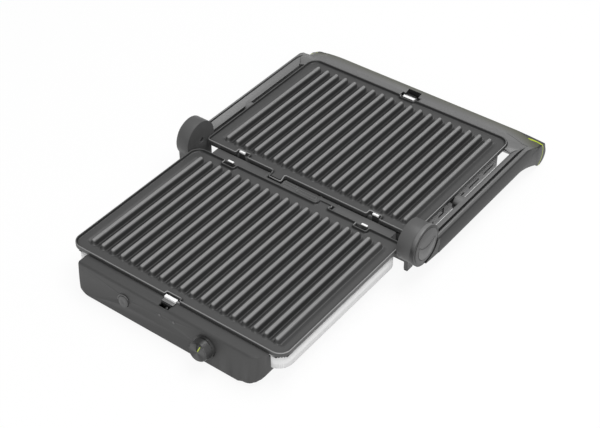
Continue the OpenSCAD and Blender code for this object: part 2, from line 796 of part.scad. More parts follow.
// Places a latch spring between the panel's inner face and the slide's tab.
module spring_place() {
    drop = panel_top_drop + wall_t + 3;
    wall_y = panel_y(drop - 1.5) - wall_t;
    tab_y = slide_rear + 1.6;
    translate([0, -wall_y + seat, -drop]) latch_coil(wall_y - tab_y - 2 * seat);
}

module lower_latch_spring() {
    color("silver") placed() spring_place();
}

module upper_latch_spring() {
    color("silver") placed() turned_over_to_lid() spring_place();
}

// ---- Handle frame ----

// Cross-section of an arm as [across, height] points: light band, groove, raised rib, outer face.
arm_section = [
    [arm_in, -arm_bottom + 2],
    [arm_in, -arm_drop - 4.4],
    [rib_x - 4.4, -arm_drop],
    [rib_x - 3.6, -arm_drop - 4],
    [rib_x - 2.2, -arm_drop - 4],
    [rib_x - 1.2, -arm_drop - 0.9],
    [rib_x - 0.4, -arm_drop - 0.4],
    [rib_x + 0.6, -arm_drop - 0.6],
    [frame_half_w - 1.5, -arm_drop - 3.3],
    [frame_half_w - 0.6, -arm_drop - 4.8],
    [frame_half_w, -arm_bottom + 3],
    [frame_half_w - 3, -arm_bottom],
    [arm_in + 2, -arm_bottom]
];

// Outline of the grip in side view.
module grip_outline() {
    hull() {
        translate(grip_top) circle(r = grip_top_r, $fn = fine);
        translate(grip_mid) circle(r = grip_mid_r, $fn = fine);
        translate(grip_low) circle(r = grip_low_r, $fn = fine);
        translate([grip_in + 1.5, -rim_drop - 3]) circle(r = 1.5, $fn = 24);
        translate([grip_in + 1.5, -arm_bottom - 1]) circle(r = 1.5, $fn = 24);
    }
}

// A curve that leaves level at [from, z] and has fallen by drop at [to, z - drop].
function falling_points(from, to, z, drop, power, steps = 10) = [
    for (i = [0 : steps])
        let (t = i / steps)
        [from + t * (to - from), z - drop * pow(t, power)]
];

// Side outline of an arm: its top falls into the grip and its underside swells down to it.
module arm_side_outline() {
    bend_y = grip_in - 28.6;
    top_end = grip_in + 20;
    low_end = grip_low[0];
    top = falling_points(bend_y, top_end, -arm_drop, 0.007 * pow(top_end - bend_y, 2), 2);
    low = falling_points(bend_y, low_end, -arm_bottom, grip_low_r - grip_low[1] - arm_bottom, 1.45);
    polygon(concat([[arm_start, -arm_bottom], [arm_start, -arm_drop]], top,
        [for (i = [len(low) - 1 : -1 : 0]) low[i]]));
}

// An arm along its whole length, with the swell that carries the grip.
module arm_body() {
    intersection() {
        rotate([90, 0, 90]) linear_extrude(frame_half_w) arm_side_outline();
        union() {
            translate([0, arm_start - 1, 0]) rotate([90, 0, 180]) mirror([1, 0, 0])
                linear_extrude(grip_back) polygon(arm_section);
            translate([arm_in, arm_start, -ridge_z])
                cube([frame_half_w - arm_in, grip_back, ridge_z - arm_bottom + 3]);
        }
    }
}

// Front-view outline of the grip, with shoulders that fall off to the arms.
module shoulder_outline() {
    intersection() {
        union() {
            translate([-shoulder_x, -2 * ridge_z]) square([2 * shoulder_x, 2 * ridge_z - rim_drop]);
            for (s = [-1, 1])
                translate([s * shoulder_x, -rim_drop - shoulder_r]) circle(r = shoulder_r, $fn = 180);
        }
        translate([-frame_half_w, -ridge_z]) square([2 * frame_half_w, 2 * ridge_z]);
    }
}

// The grip bar with both arms, before it is split along its parting line.
module grip_and_arms() {
    intersection() {
        translate([-frame_half_w, 0, 0]) rotate([90, 0, 90])
            linear_extrude(2 * frame_half_w) grip_outline();
        translate([0, grip_in - 20, 0]) rotate([90, 0, 180])
            linear_extrude(80) shoulder_outline();
    }
    both_sides() arm_body();
}

module parting_cylinder(r) {
    translate([-frame_half_w - 5, parting[0], parting[1]]) rotate([0, 90, 0])
        cylinder(r = r, h = 2 * frame_half_w + 10, $fn = 128);
}

// Everything in front of the depth y, as a tool for cutting the handle's pieces.
module in_front_of(y) {
    translate([-2 * frame_half_w, y - 2 * grip_back, -2 * ridge_z])
        cube([4 * frame_half_w, 2 * grip_back, 4 * ridge_z]);
}

// End disc of the frame on a hub, with the link that joins it to its arm.
module end_disc(r, face) {
    translate([0, 0, hinge_rise]) x_cylinder(r, cap_in, face);
    translate([cap_in, 0, 0]) rotate([90, 0, 90]) linear_extrude(face - cap_in)
        polygon([[0, hinge_rise - r], [arm_start + 1, -arm_bottom], [arm_start + 1, -arm_drop - 3],
            [0, -arm_drop - 3]]);
}

module handle_frame() {
    pocket_half = slide_w / 2 + 3;
    color("gray") placed() difference() {
        union() {
            intersection() {
                grip_and_arms();
                union() {
                    parting_cylinder(parting_r);
                    in_front_of(parting_from);
                }
            }
            both_sides() translate([0, pivot_y, -pivot_drop]) x_cylinder(pivot_boss_r, boss_in, arm_in + 4);
            end_disc(disc_r, hub_face);
            mirror([1, 0, 0]) end_disc(small_disc_r, small_hub_face);
        }
        both_sides() {
            translate([0, 0, hinge_rise]) x_cylinder(hinge_pin_r + pin_fit, cap_in - 1, frame_half_w + 1);
            translate([0, pivot_y, -pivot_drop]) x_cylinder(pivot_r + 2, boss_in - 1, arm_in + 12);
        }
        // Recess behind the release pad.
        on_hub(pad_floor) linear_extrude(5) pad_outline(gap);
        // Pocket in the grip that clears the upper latch and its guide.
        translate([-pocket_half, grip_in - 3, slide_under - 6.4])
            cube([2 * pocket_half, pocket_front + 1.8 - grip_in + 3, 30]);
    }
}

module handle_trim() {
    color("yellowgreen") placed() difference() {
        intersection() {
            grip_and_arms();
            parting_cylinder(parting_r + trim_t);
        }
        parting_cylinder(parting_r + seat / 2);
        in_front_of(parting_from + seat);
    }
}

module handle_back_shell() {
    color("dimgray") placed() difference() {
        grip_and_arms();
        parting_cylinder(parting_r + trim_t + seat / 2);
        in_front_of(parting_from + seat);
    }
}

// Crescent outline of the release pad, drawn in the plane of the hub, grown by m.
module pad_outline(m) {
    difference() {
        circle(r = pad_r + m, $fn = fine);
        translate([2, pad_r + 5]) circle(r = pad_r + 6 - m, $fn = fine);
    }
}

// Turns a side outline (depth, height) to face outwards at x.
module on_hub(x) {
    translate([x, 0, hinge_rise]) rotate([90, 0, 90]) children();
}

// Thin cap of radius r on an end disc whose face is at x.
module hub_cap(r, x) {
    translate([0, 0, hinge_rise]) x_cylinder(r, x + seat / 2, x + 0.6);
    on_hub(x + 0.5) cylinder(r1 = r, r2 = r - 1.4, h = 0.7, $fn = fine);
}

module hub_cap_left() {
    color("dimgray") placed() mirror([1, 0, 0]) hub_cap(small_disc_r - 4, small_hub_face);
}

module hub_cap_right() {
    color("dimgray") placed() difference() {
        hub_cap(disc_r - 3.3, hub_face);
        on_hub(hub_face - 1) linear_extrude(5) pad_outline(gap);
    }
}

module release_button() {
    color("gray") placed() on_hub(hub_face + seat) linear_extrude(1.4) pad_outline(0);
}

module hinge_pin() {
    placed() translate([0, 0, hinge_rise])
        x_cylinder(hinge_pin_r, drum_in + drum_wall + seat, hinge_pin_end);
}

module hinge_pin_left() {
    color("silver") mirror([1, 0, 0]) hinge_pin();
}

module hinge_pin_right() {
    color("silver") hinge_pin();
}

module pivot_bushes() {
    color("white") placed() both_sides() translate([0, pivot_y, -pivot_drop]) difference() {
        x_cylinder(pivot_r + 2 - seat / 2, boss_in, arm_in + 11.8);
        x_cylinder(pivot_r + pin_fit, boss_in - 1, arm_in + 14);
    }
}

module handle_screws() {
    color("silver") placed() both_sides() for (y = [arm_start + 34, grip_in - 71.6])
        translate([(arm_in + frame_half_w) / 2, y, -arm_bottom - 0.8])
            cylinder(r = screw_head_r, h = 0.8, $fn = 32);
}

// ---- Lid ----

// The lid's outer block: upright walls, and long round edges down to the flat outer face.
module lid_block(m) {
    bottom = m - ridge_z;
    r = ridge_z + pan_floor - m;
    deep = pan_front - pan_rear - 2 * m;
    wide = pan_w - 2 * m;
    intersection() {
        translate([0, 0, bottom]) linear_extrude(pan_top - bottom) pan_plan(m);
        translate([0, -pan_rear - m, 0]) rotate([90, 0, 0]) linear_extrude(deep)
            lid_outline(wide, bottom, r);
        translate([-pan_w / 2, mid_plate_y, 0]) rotate([90, 0, 90]) linear_extrude(pan_w)
            lid_outline(deep, bottom, r);
    }
}

// Upright outline of the lid, w wide, with lower corners of radius r.
module lid_outline(w, bottom, r) {
    translate([-w / 2, bottom + r]) square([w, pan_top - bottom - r + eps]);
    translate([-w / 2 + r, bottom]) square([w - 2 * r, r + eps]);
    for (s = [-1, 1]) translate([s * (w / 2 - r), bottom + r]) circle(r = r, $fn = fine);
}

module lid_cover() {
    color("dimgray") placed() turned_over_to_lid() difference() {
        lid_block(0);
        lid_block(wall_t);
        translate([0, 0, pan_floor - seat]) linear_extrude(pan_h + 1) pan_plan(wall_t);
        side_vents(5, pan_floor + 0.9, 2.8, wall_t + seat / 2);
    }
}

// Steel brackets on the cover's sides that carry the pivot pins.
module lid_brackets() {
    x0 = pan_w / 2 + seat;
    half = 16;
    color("silver") placed() both_sides() difference() {
        union() {
            translate([x0, pivot_y - half, pan_floor + 4]) cube([1.6, 2 * half, 12.4]);
            translate([0, pivot_y, -pivot_drop]) x_cylinder(pivot_r + 1, x0, x0 + 6);
        }
        translate([0, pivot_y, -pivot_drop]) x_cylinder(pivot_r + pin_fit, x0 - 2, x0 + 9);
    }
}

module pivot_pins() {
    x0 = pan_w / 2 + seat;
    color("silver") placed() both_sides() translate([0, pivot_y, -pivot_drop])
        x_cylinder(pivot_r, x0 + 0.2, arm_in + 11);
}

module lid_screws() {
    color("silver") placed() for (s = [-1, 1], k = [-1, 1])
        translate([s * (pan_w / 2 - 51.5), k * 55 - mid_plate_y, pan_floor + pan_t])
            cylinder(r = screw_head_r, h = 1.4, $fn = 32);
}

base_housing();
base_floor();
hinge_yoke();
drip_rail();
cord_gland();
terminal_block();
lower_pan();
lower_element();
lower_element_clips();
lower_plate_clips();
base_feet();
base_screws();
thermostat();
thermostat_shaft();
thermostat_knob();
knob_pointer();
power_switch();
power_button();
button_bezel();
indicator_lenses();
indicator_board();
lower_catch();
lower_latch_slide();
lower_latch_spring();
lower_plate();
hinge_pin_left();
hinge_pin_right();
handle_frame();
handle_trim();
handle_back_shell();
hub_cap_left();
hub_cap_right();
release_button();
pivot_bushes();
handle_screws();
lid_cover();
upper_pan();
upper_element();
upper_element_clips();
upper_plate_clips();
lid_brackets();
pivot_pins();
upper_catch();
upper_latch_slide();
upper_latch_spring();
upper_latch_bracket();
lid_screws();
upper_plate();
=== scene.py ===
import json
import math

import bmesh
import bpy
import numpy as np
from mathutils import Matrix, Vector


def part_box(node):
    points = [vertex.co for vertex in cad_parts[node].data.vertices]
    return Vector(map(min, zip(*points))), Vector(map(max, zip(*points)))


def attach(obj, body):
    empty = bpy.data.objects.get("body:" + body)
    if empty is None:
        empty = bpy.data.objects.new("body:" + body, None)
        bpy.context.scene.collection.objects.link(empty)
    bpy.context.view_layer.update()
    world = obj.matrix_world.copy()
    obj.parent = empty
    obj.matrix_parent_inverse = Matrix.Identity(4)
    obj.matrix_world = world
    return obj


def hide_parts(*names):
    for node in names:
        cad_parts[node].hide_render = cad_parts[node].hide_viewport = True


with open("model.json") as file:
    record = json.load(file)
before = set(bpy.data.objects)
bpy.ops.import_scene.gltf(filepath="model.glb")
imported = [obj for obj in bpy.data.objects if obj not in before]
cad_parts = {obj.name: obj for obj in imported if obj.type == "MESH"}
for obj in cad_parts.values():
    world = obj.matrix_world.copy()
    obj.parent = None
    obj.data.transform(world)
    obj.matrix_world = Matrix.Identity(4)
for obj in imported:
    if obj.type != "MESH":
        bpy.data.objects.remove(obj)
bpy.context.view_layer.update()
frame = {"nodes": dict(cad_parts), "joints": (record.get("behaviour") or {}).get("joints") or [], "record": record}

nodes = frame["nodes"]
mm = 0.001


def boxOf(node):
    low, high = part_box(node)
    return np.array(low), np.array(high)


jointByName = {joint["name"]: joint for joint in frame["joints"]}
subparts = frame["record"]["subparts"]
slotOf = {row["node"]: row["material_slot"] for row in subparts}
bodyOf = {node: body for body, members in frame["record"]["behaviour"]["bodies"].items()
          for node in members}

# new pieces are worked out in millimetres from the middle of the hinge axis, at the height of the ridge
# tops, and then moved to this place
hingeY = jointByName["main_hinge"]["pos_m"][1]
ridgeZ = float(boxOf("lower_plate")[1][2])
datum = np.array((0, hingeY, ridgeZ))


def addNode(tree, kind, inputs=None, **settings):
    node = tree.nodes.new(kind)
    for key, value in settings.items():
        setattr(node, key, value)
    for key, value in (inputs or {}).items():
        if isinstance(value, bpy.types.NodeSocket):
            tree.links.new(value, node.inputs[key])
        else:
            node.inputs[key].default_value = value
    return node


def srgb(r, g, b):
    def lin(v):
        v = v / 255
        return v / 12.92 if v <= 0.04045 else ((v + 0.055) / 1.055) ** 2.4
    return (lin(r), lin(g), lin(b), 1.0)


def grey(v):
    return srgb(v, v, v)


def newGroup(name, inputs, outputs):
    tree = bpy.data.node_groups.new(name, "ShaderNodeTree")
    for label, kind, value in inputs:
        tree.interface.new_socket(label, in_out="INPUT", socket_type=kind).default_value = value
    for label, kind in outputs:
        tree.interface.new_socket(label, in_out="OUTPUT", socket_type=kind)
    return tree, tree.nodes.new("NodeGroupInput"), tree.nodes.new("NodeGroupOutput")


def buildGrainGroup():
    # moulded grain: fine noise for the height, broad noise for how the tone and gloss wander
    grain = {"broad": 22.0, "broadDetail": 3.0, "fineDetail": 2.0, "height": 0.0002}
    tree, gin, gout = newGroup(
        "mouldedGrain",
        [("Tone", "NodeSocketColor", (0.1, 0.1, 0.1, 1)), ("Roughness", "NodeSocketFloat", 0.5),
         ("Grain Size", "NodeSocketFloat", 1500.0), ("Grain Depth", "NodeSocketFloat", 0.08),
         ("Tone Spread", "NodeSocketFloat", 0.06), ("Gloss Spread", "NodeSocketFloat", 0.05)],
        [("Color", "NodeSocketColor"), ("Roughness", "NodeSocketFloat"), ("Normal", "NodeSocketVector")])
    place = addNode(tree, "ShaderNodeTexCoord").outputs["Object"]
    broad = addNode(tree, "ShaderNodeTexNoise",
                    {"Vector": place, "Scale": grain["broad"], "Detail": grain["broadDetail"]})
    fine = addNode(tree, "ShaderNodeTexNoise",
                   {"Vector": place, "Scale": gin.outputs["Grain Size"], "Detail": grain["fineDetail"]})
    wander = addNode(tree, "ShaderNodeMath", {0: broad.outputs["Fac"], 1: 0.5}, operation="SUBTRACT")
    toneShift = addNode(tree, "ShaderNodeMath",
                        {0: wander.outputs[0], 1: gin.outputs["Tone Spread"]}, operation="MULTIPLY")
    toneGain = addNode(tree, "ShaderNodeMath", {0: toneShift.outputs[0], 1: 1.0}, operation="ADD")
    tone = addNode(tree, "ShaderNodeVectorMath",
                   {0: gin.outputs["Tone"], "Scale": toneGain.outputs[0]}, operation="SCALE")
    glossShift = addNode(tree, "ShaderNodeMath",
                         {0: wander.outputs[0], 1: gin.outputs["Gloss Spread"]}, operation="MULTIPLY")
    gloss = addNode(tree, "ShaderNodeMath",
                    {0: gin.outputs["Roughness"], 1: glossShift.outputs[0]}, operation="ADD", use_clamp=True)
    bump = addNode(tree, "ShaderNodeBump",
                   {"Height": fine.outputs["Fac"], "Strength": gin.outputs["Grain Depth"],
                    "Distance": grain["height"]})
    tree.links.new(tone.outputs[0], gout.inputs["Color"])
    tree.links.new(gloss.outputs[0], gout.inputs["Roughness"])
    tree.links.new(bump.outputs[0], gout.inputs["Normal"])
    return tree


grainGroup = buildGrainGroup()


def startMaterial(name, **plain):
    mat = bpy.data.materials.new(name)
    mat.use_nodes = True
    tree = mat.node_tree
    shader = tree.nodes["Principled BSDF"]
    for key, value in plain.items():
        shader.inputs[key.replace("_", " ")].default_value = value
    return mat, tree, shader


def mixTones(tree, share, low, high):
    mix = addNode(tree, "ShaderNodeMix", {"Factor": share, "A": low, "B": high}, data_type="RGBA")
    return mix.outputs["Result"]


def useGrain(tree, shader, tone, roughness, size=1500.0, depth=0.08, spread=0.06):
    grain = addNode(tree, "ShaderNodeGroup",
                    {"Tone": tone, "Roughness": roughness, "Grain Size": size, "Grain Depth": depth,
                     "Tone Spread": spread}, node_tree=grainGroup)
    tree.links.new(grain.outputs["Color"], shader.inputs["Base Color"])
    tree.links.new(grain.outputs["Roughness"], shader.inputs["Roughness"])
    tree.links.new(grain.outputs["Normal"], shader.inputs["Normal"])
    return grain


def grainMaterial(name, tone, roughness, **more):
    mat, tree, shader = startMaterial(name)
    useGrain(tree, shader, tone, roughness, **more)
    return mat


def brushedMaterial(name, tone, roughness):
    # drawn metal: noise stretched along one axis
    brush = {"stretch": (900.0, 40.0, 900.0), "detail": 4.0, "dull": 0.82, "smoother": 0.06, "rougher": 0.1,
             "depth": 0.12, "height": 0.0001}
    mat, tree, shader = startMaterial(name, Metallic=1.0)
    place = addNode(tree, "ShaderNodeTexCoord")
    stretched = addNode(tree, "ShaderNodeMapping",
                        {"Vector": place.outputs["Object"], "Scale": brush["stretch"]})
    lines = addNode(tree, "ShaderNodeTexNoise",
                    {"Vector": stretched.outputs[0], "Scale": 1.0, "Detail": brush["detail"]})
    gloss = addNode(tree, "ShaderNodeMapRange",
                    {"Value": lines.outputs["Fac"], "To Min": roughness - brush["smoother"],
                     "To Max": roughness + brush["rougher"]})
    dull = tuple(c * brush["dull"] for c in tone[:3]) + (1,)
    bump = addNode(tree, "ShaderNodeBump",
                   {"Height": lines.outputs["Fac"], "Strength": brush["depth"], "Distance": brush["height"]})
    tree.links.new(mixTones(tree, lines.outputs["Fac"], tone, dull), shader.inputs["Base Color"])
    tree.links.new(gloss.outputs[0], shader.inputs["Roughness"])
    tree.links.new(bump.outputs[0], shader.inputs["Normal"])
    return mat


def coatingMaterial():
    # non-stick coating: the ridge tops are lighter, partly wear and partly a painted highlight. The rim's lip
    # carries a painted highlight, and the valleys carry painted shade. The plate pieces carry these three as red,
    # green and blue of their paint attribute
    look = {"margin": grey(71), "valley": grey(26), "top": grey(134), "lip": grey(150), "rough": 0.42}
    mat, tree, shader = startMaterial("grillCoating")
    paint = addNode(tree, "ShaderNodeAttribute", attribute_name="paint")
    marks = addNode(tree, "ShaderNodeSeparateColor", {"Color": paint.outputs["Color"]})
    tone = look["margin"]
    # blue mixes in the painted shade, green the lip's painted highlight, red the ridge tops' wear and painted
    # highlight
    for mark, tint in (("Blue", "valley"), ("Green", "lip"), ("Red", "top")):
        tone = mixTones(tree, marks.outputs[mark], tone, look[tint])
    useGrain(tree, shader, tone, look["rough"], size=2600.0, depth=0.10, spread=0.08)
    return mat


def frameMaterial():
    # silver paint on the faces that look up, inside the arms' outer edges, and bare dark plastic on the
    # flanks. The split follows which way a face looks, so it also paints light on the tops and shade on the
    # flanks. The paint turns warmer towards the grip's rear, a distance behind the hinge
    look = {"top": grey(112), "rear": srgb(84, 85, 70), "flank": grey(46), "rough": 0.42,
            "dark": 0.25, "lit": 0.75, "edgeOut": 0.1699, "edgeIn": 0.1695,
            "rearFrom": 0.234, "rearTo": 0.249}
    mat, tree, shader = startMaterial("framePaint")
    place = addNode(tree, "ShaderNodeTexCoord")
    up = addNode(tree, "ShaderNodeSeparateXYZ", {0: place.outputs["Normal"]}).outputs["Z"]
    # this share paints light on the faces that look up and shade on the flanks
    facing = addNode(tree, "ShaderNodeMapRange",
                     {"Value": up, "From Min": look["dark"], "From Max": look["lit"]})
    spot = addNode(tree, "ShaderNodeSeparateXYZ", {0: place.outputs["Object"]})
    across = addNode(tree, "ShaderNodeMath", {0: spot.outputs["X"]}, operation="ABSOLUTE")
    inboard = addNode(tree, "ShaderNodeMapRange",
                      {"Value": across.outputs[0], "From Min": look["edgeOut"], "From Max": look["edgeIn"]})
    litSilverShare = addNode(tree, "ShaderNodeMath",
                      {0: facing.outputs[0], 1: inboard.outputs[0]}, operation="MULTIPLY")
    rear = addNode(tree, "ShaderNodeMapRange",
                   {"Value": spot.outputs["Y"], "From Min": hingeY + look["rearFrom"],
                    "From Max": hingeY + look["rearTo"]})
    silver = mixTones(tree, rear.outputs[0], look["top"], look["rear"])
    tone = mixTones(tree, litSilverShare.outputs[0], look["flank"], silver)
    useGrain(tree, shader, tone, look["rough"], size=1800.0, depth=0.12)
    return mat


def ribbedMaterial():
    # the cover's fine horizontal ribs
    ribbed = {"tone": grey(116), "rough": 0.45, "ribs": 260.0, "depth": 0.25, "height": 0.0002}
    mat, tree, shader = startMaterial("coverPlastic")
    grain = useGrain(tree, shader, ribbed["tone"], ribbed["rough"])
    place = addNode(tree, "ShaderNodeTexCoord")
    ribs = addNode(tree, "ShaderNodeTexWave",
                   {"Vector": place.outputs["Object"], "Scale": ribbed["ribs"]},
                   wave_type="BANDS", bands_direction="Z")
    bump = addNode(tree, "ShaderNodeBump", {"Height": ribs.outputs["Fac"], "Strength": ribbed["depth"],
                                            "Distance": ribbed["height"], "Normal": grain.outputs["Normal"]})
    tree.links.new(bump.outputs[0], shader.inputs["Normal"])
    return mat


def cappedMaterial(name, metal, dark, level):
    # bright pressed steel above a level, dark below it
    cap = {"blend": 0.15 * mm, "rough": 0.45}
    mat, tree, shader = startMaterial(name)
    place = addNode(tree, "ShaderNodeTexCoord")
    height = addNode(tree, "ShaderNodeSeparateXYZ", {0: place.outputs["Object"]}).outputs["Z"]
    bright = addNode(tree, "ShaderNodeMapRange",
                     {"Value": height, "From Min": level - cap["blend"], "From Max": level + cap["blend"]})
    tone = mixTones(tree, bright.outputs[0], dark, metal)
    useGrain(tree, shader, tone, cap["rough"], size=900.0, depth=0.05, spread=0.03)
    return mat


def knobSheenMaterial():
    # the knob: a painted sheen of turned metal, light and dark in turn round its axis
    sheen = {"dark": grey(34), "light": grey(74), "turns": 3, "rough": 0.32}
    mat, tree, shader = startMaterial("knobSpun")
    joint = jointByName["knob_turn"]
    turn = Vector(joint["axis"]).rotation_difference(Vector((0, 0, 1)))
    place = addNode(tree, "ShaderNodeTexCoord")
    facing = addNode(tree, "ShaderNodeMapping",
                     {"Vector": place.outputs["Object"], "Rotation": turn.to_euler(),
                      "Location": -(turn @ Vector(joint["pos_m"]))})
    angle = addNode(tree, "ShaderNodeTexGradient", {"Vector": facing.outputs[0]}, gradient_type="RADIAL")
    wave = addNode(tree, "ShaderNodeMath",
                   {0: angle.outputs["Fac"], 1: sheen["turns"] * 2 * math.pi}, operation="MULTIPLY")
    wave = addNode(tree, "ShaderNodeMath", {0: wave.outputs[0]}, operation="SINE")
    share = addNode(tree, "ShaderNodeMapRange", {"Value": wave.outputs[0], "From Min": -1.0, "From Max": 1.0})
    tone = mixTones(tree, share.outputs[0], sheen["dark"], sheen["light"])
    useGrain(tree, shader, tone, sheen["rough"], depth=0.03)
    return mat


catchTop = float(boxOf("lower_catch")[1][2])
looks = {
    "housing": grainMaterial("housingPlastic", grey(66), 0.52),
    "hub": grainMaterial("hubPlastic", grey(84), 0.48),
    "frame": frameMaterial(),
    "cover": ribbedMaterial(),
    "rail": grainMaterial("railPlastic", grey(84), 0.5),
    # the rail's beads: the rail's plastic made lighter, a painted highlight on its raised outlines
    "bead": grainMaterial("railEdge", grey(104), 0.45),
    "catch": cappedMaterial("catchSteel", grey(250), grey(16), catchTop - 2.3 * mm),
    "clip": cappedMaterial("clipSteel", grey(252), grey(58), ridgeZ - 3.8 * mm),
    "coating": coatingMaterial(),
    "pan": grainMaterial("panEnamel", grey(232), 0.22, depth=0.02, spread=0.02),
    # the upper pan and the lid brackets: a dark tone, painted shade for the pan that lies in shadow under the lid
    "darkPan": grainMaterial("panBackEnamel", grey(52), 0.35),
    "steel": brushedMaterial("sprungSteel", grey(252), 0.55),
    "pin": brushedMaterial("pinSteel", grey(190), 0.3),
    "element": brushedMaterial("elementSteel", grey(120), 0.45),
    "knob": knobSheenMaterial(),
    "lime": grainMaterial("limeTrim", srgb(178, 196, 52), 0.35, depth=0.03),
    "button": grainMaterial("buttonPlastic", grey(84), 0.35, depth=0.03),
    "lens": grainMaterial("lensPlastic", grey(92), 0.3, depth=0.02),
    "black": grainMaterial("latchPlastic", grey(28), 0.4),
    "rubber": grainMaterial("footRubber", grey(34), 0.8, depth=0.2),
    "ceramic": grainMaterial("terminalCeramic", grey(225), 0.3),
    "board": grainMaterial("circuitBoard", srgb(30, 92, 52), 0.35),
    "bush": grainMaterial("bushPlastic", grey(96), 0.4),
}

lookOfSlot = {
    "housing": "housing", "yoke": "hub", "frame_grey": "frame", "lime_trim": "lime",
    "plate_coat": "coating", "pan_white": "pan", "steel": "steel", "pin_steel": "pin",
    "element_steel": "element", "knob_black": "knob", "button_grey": "button", "lens_grey": "lens",
    "slide_black": "black", "rubber": "rubber", "ceramic": "ceramic", "board_green": "board",
    "bush_white": "bush",
}
lookOfNode = {
    "lid_cover": "cover", "upper_pan": "darkPan", "lid_brackets": "darkPan", "drip_rail": "rail",
    "lower_catch": "catch", "upper_catch": "catch", "lower_plate_clips": "clip", "upper_plate_clips": "clip",
}


def finishOf(node):
    return looks[lookOfNode.get(node) or lookOfSlot[slotOf[node]]]


for row in subparts:
    materials = nodes[row["node"]].data.materials
    materials.clear()
    materials.append(finishOf(row["node"]))
print("materials on", len(nodes), "nodes")


def newMesh(name, verts, faces, origin=datum):
    mesh = bpy.data.meshes.new(name)
    mesh.from_pydata((np.array(verts) * mm + origin).tolist(), [], faces)
    mesh.polygons.foreach_set("use_smooth", [True] * len(mesh.polygons))
    return mesh


def addPiece(name, mesh, node, material=None, replaces=False):
    # links a new piece that goes with a CAD node and takes its body and its finish
    piece = bpy.data.objects.new(name, mesh)
    bpy.context.scene.collection.objects.link(piece)
    mesh.materials.clear()
    mesh.materials.append(material or finishOf(node))
    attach(piece, bodyOf[node])
    if replaces:
        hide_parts(node)
    return piece


def addWall(piece, thick):
    wall = piece.modifiers.new("wall", "SOLIDIFY")
    wall.thickness = thick * mm
    wall.offset = -1


def smoothStep(t):
    t = np.clip(t, 0, 1)
    return t * t * (3 - 2 * t)


def softCopy(node, width, reshape=None, cuts=()):
    # a copy of the CAD piece whose sharp edges are rounded over. The cuts, each an axis and a place on it,
    # give a bent piece the points that reshape moves
    soft = {"merge": 2e-6, "flat": 0.6, "onPlane": 1e-7, "segments": 3, "sharp": 30}
    bm = bmesh.new()
    bm.from_mesh(nodes[node].data)
    bmesh.ops.remove_doubles(bm, verts=bm.verts, dist=soft["merge"])
    bmesh.ops.dissolve_limit(bm, angle_limit=math.radians(soft["flat"]), verts=bm.verts, edges=bm.edges)
    for axis, place in cuts:
        normal = Vector((1 - axis, axis, 0))
        geom = bm.verts[:] + bm.edges[:] + bm.faces[:]
        bmesh.ops.bisect_plane(bm, geom=geom, dist=soft["onPlane"], plane_co=normal * float(place),
                               plane_no=normal)
    mesh = bpy.data.meshes.new(node + "Soft")
    bm.to_mesh(mesh)
    bm.free()
    if reshape:
        points = np.empty(3 * len(mesh.vertices))
        mesh.vertices.foreach_get("co", points)
        moved = reshape(*points.reshape(-1, 3).T)
        mesh.vertices.foreach_set("co", np.column_stack(moved).ravel())
        mesh.update()
    mesh.polygons.foreach_set("use_smooth", [True] * len(mesh.polygons))
    piece = addPiece(node + "Soft", mesh, node, replaces=True)
    bevel = piece.modifiers.new("roundEdges", "BEVEL")
    bevel.width = width * mm
    bevel.segments = soft["segments"]
    bevel.limit_method = "ANGLE"
    bevel.angle_limit = math.radians(soft["sharp"])
    bevel.use_clamp_overlap = True
    bevel.harden_normals = True


# the left shoulder, in millimetres from the datum
shoulder = {"from": 115, "to": 172, "drop": 6.0, "power": 1.7, "back": 0.63, "down": 0.78,
            "front": 236, "frontFade": 10, "low": -32, "lowFade": 12,
            "fill": 3.0, "fillX": -158, "fillY": 246, "fillSpread": 8, "fillLow": -24, "fillFade": 6,
            "cutsX": np.linspace(115, 171, 15), "cutsY": np.arange(223, 262, 2.5)}


def easeShoulder(x, y, z):
    # draws the top rear corner of the left shoulder in, more towards its end: the pull grows with a power
    # of the way along the shoulder and fades out towards the front lip and the underside. A low bump in
    # the form of a bell curve fills the hollow that this leaves
    sh = shoulder
    across, back, high = x / mm, (y - hingeY) / mm, (z - ridgeZ) / mm
    along = np.clip((-across - sh["from"]) / (sh["to"] - sh["from"]), 0, 1)
    pull = sh["drop"] * along ** sh["power"]
    pull = pull * smoothStep((back - sh["front"]) / sh["frontFade"])
    pull = pull * smoothStep((high - sh["low"]) / sh["lowFade"])
    offX, offY = (across - sh["fillX"]) / sh["fillSpread"], (back - sh["fillY"]) / sh["fillSpread"]
    fill = sh["fill"] * np.exp(-offX ** 2 - offY ** 2) * smoothStep((high - sh["fillLow"]) / sh["fillFade"])
    fill = np.where(along > 0, fill, 0)
    return x, y - sh["back"] * pull * mm, z + (fill - sh["down"] * pull) * mm


# the lower pan, in millimetres
pan = {"stretch": 1.029, "midY": -121.5, "foot": 21.2, "wall": 17, "raise": 3.4}


def stretchPan(x, y):
    middle = pan["midY"] * mm
    return x * pan["stretch"], middle + (y - middle) * pan["stretch"]


def widenPan(x, y, z):
    # the pan's wall stands a little further out under the plate's flange, drawn up to meet it
    share = np.clip((z / mm - pan["foot"]) / pan["wall"], 0, 1)
    return *stretchPan(x, y), z + pan["raise"] * mm * share


lidRim = {"from": 34, "raise": 3.4}


def raiseRim(x, y, z):
    # the rims of the lid's cover and pan reach up to the upper plate's flange
    return x, y, np.where(z > lidRim["from"] * mm, z + lidRim["raise"] * mm, z)


# the control panel's right end, in millimetres
panel = {"reach": 9, "fromX": 60, "fromY": -150, "fade": 60, "cornerX": 107, "cornerY": -225.4, "round": 22,
         "cutsX": np.arange(62, 120, 3.5), "cutsY": np.arange(-246, -170, 4)}


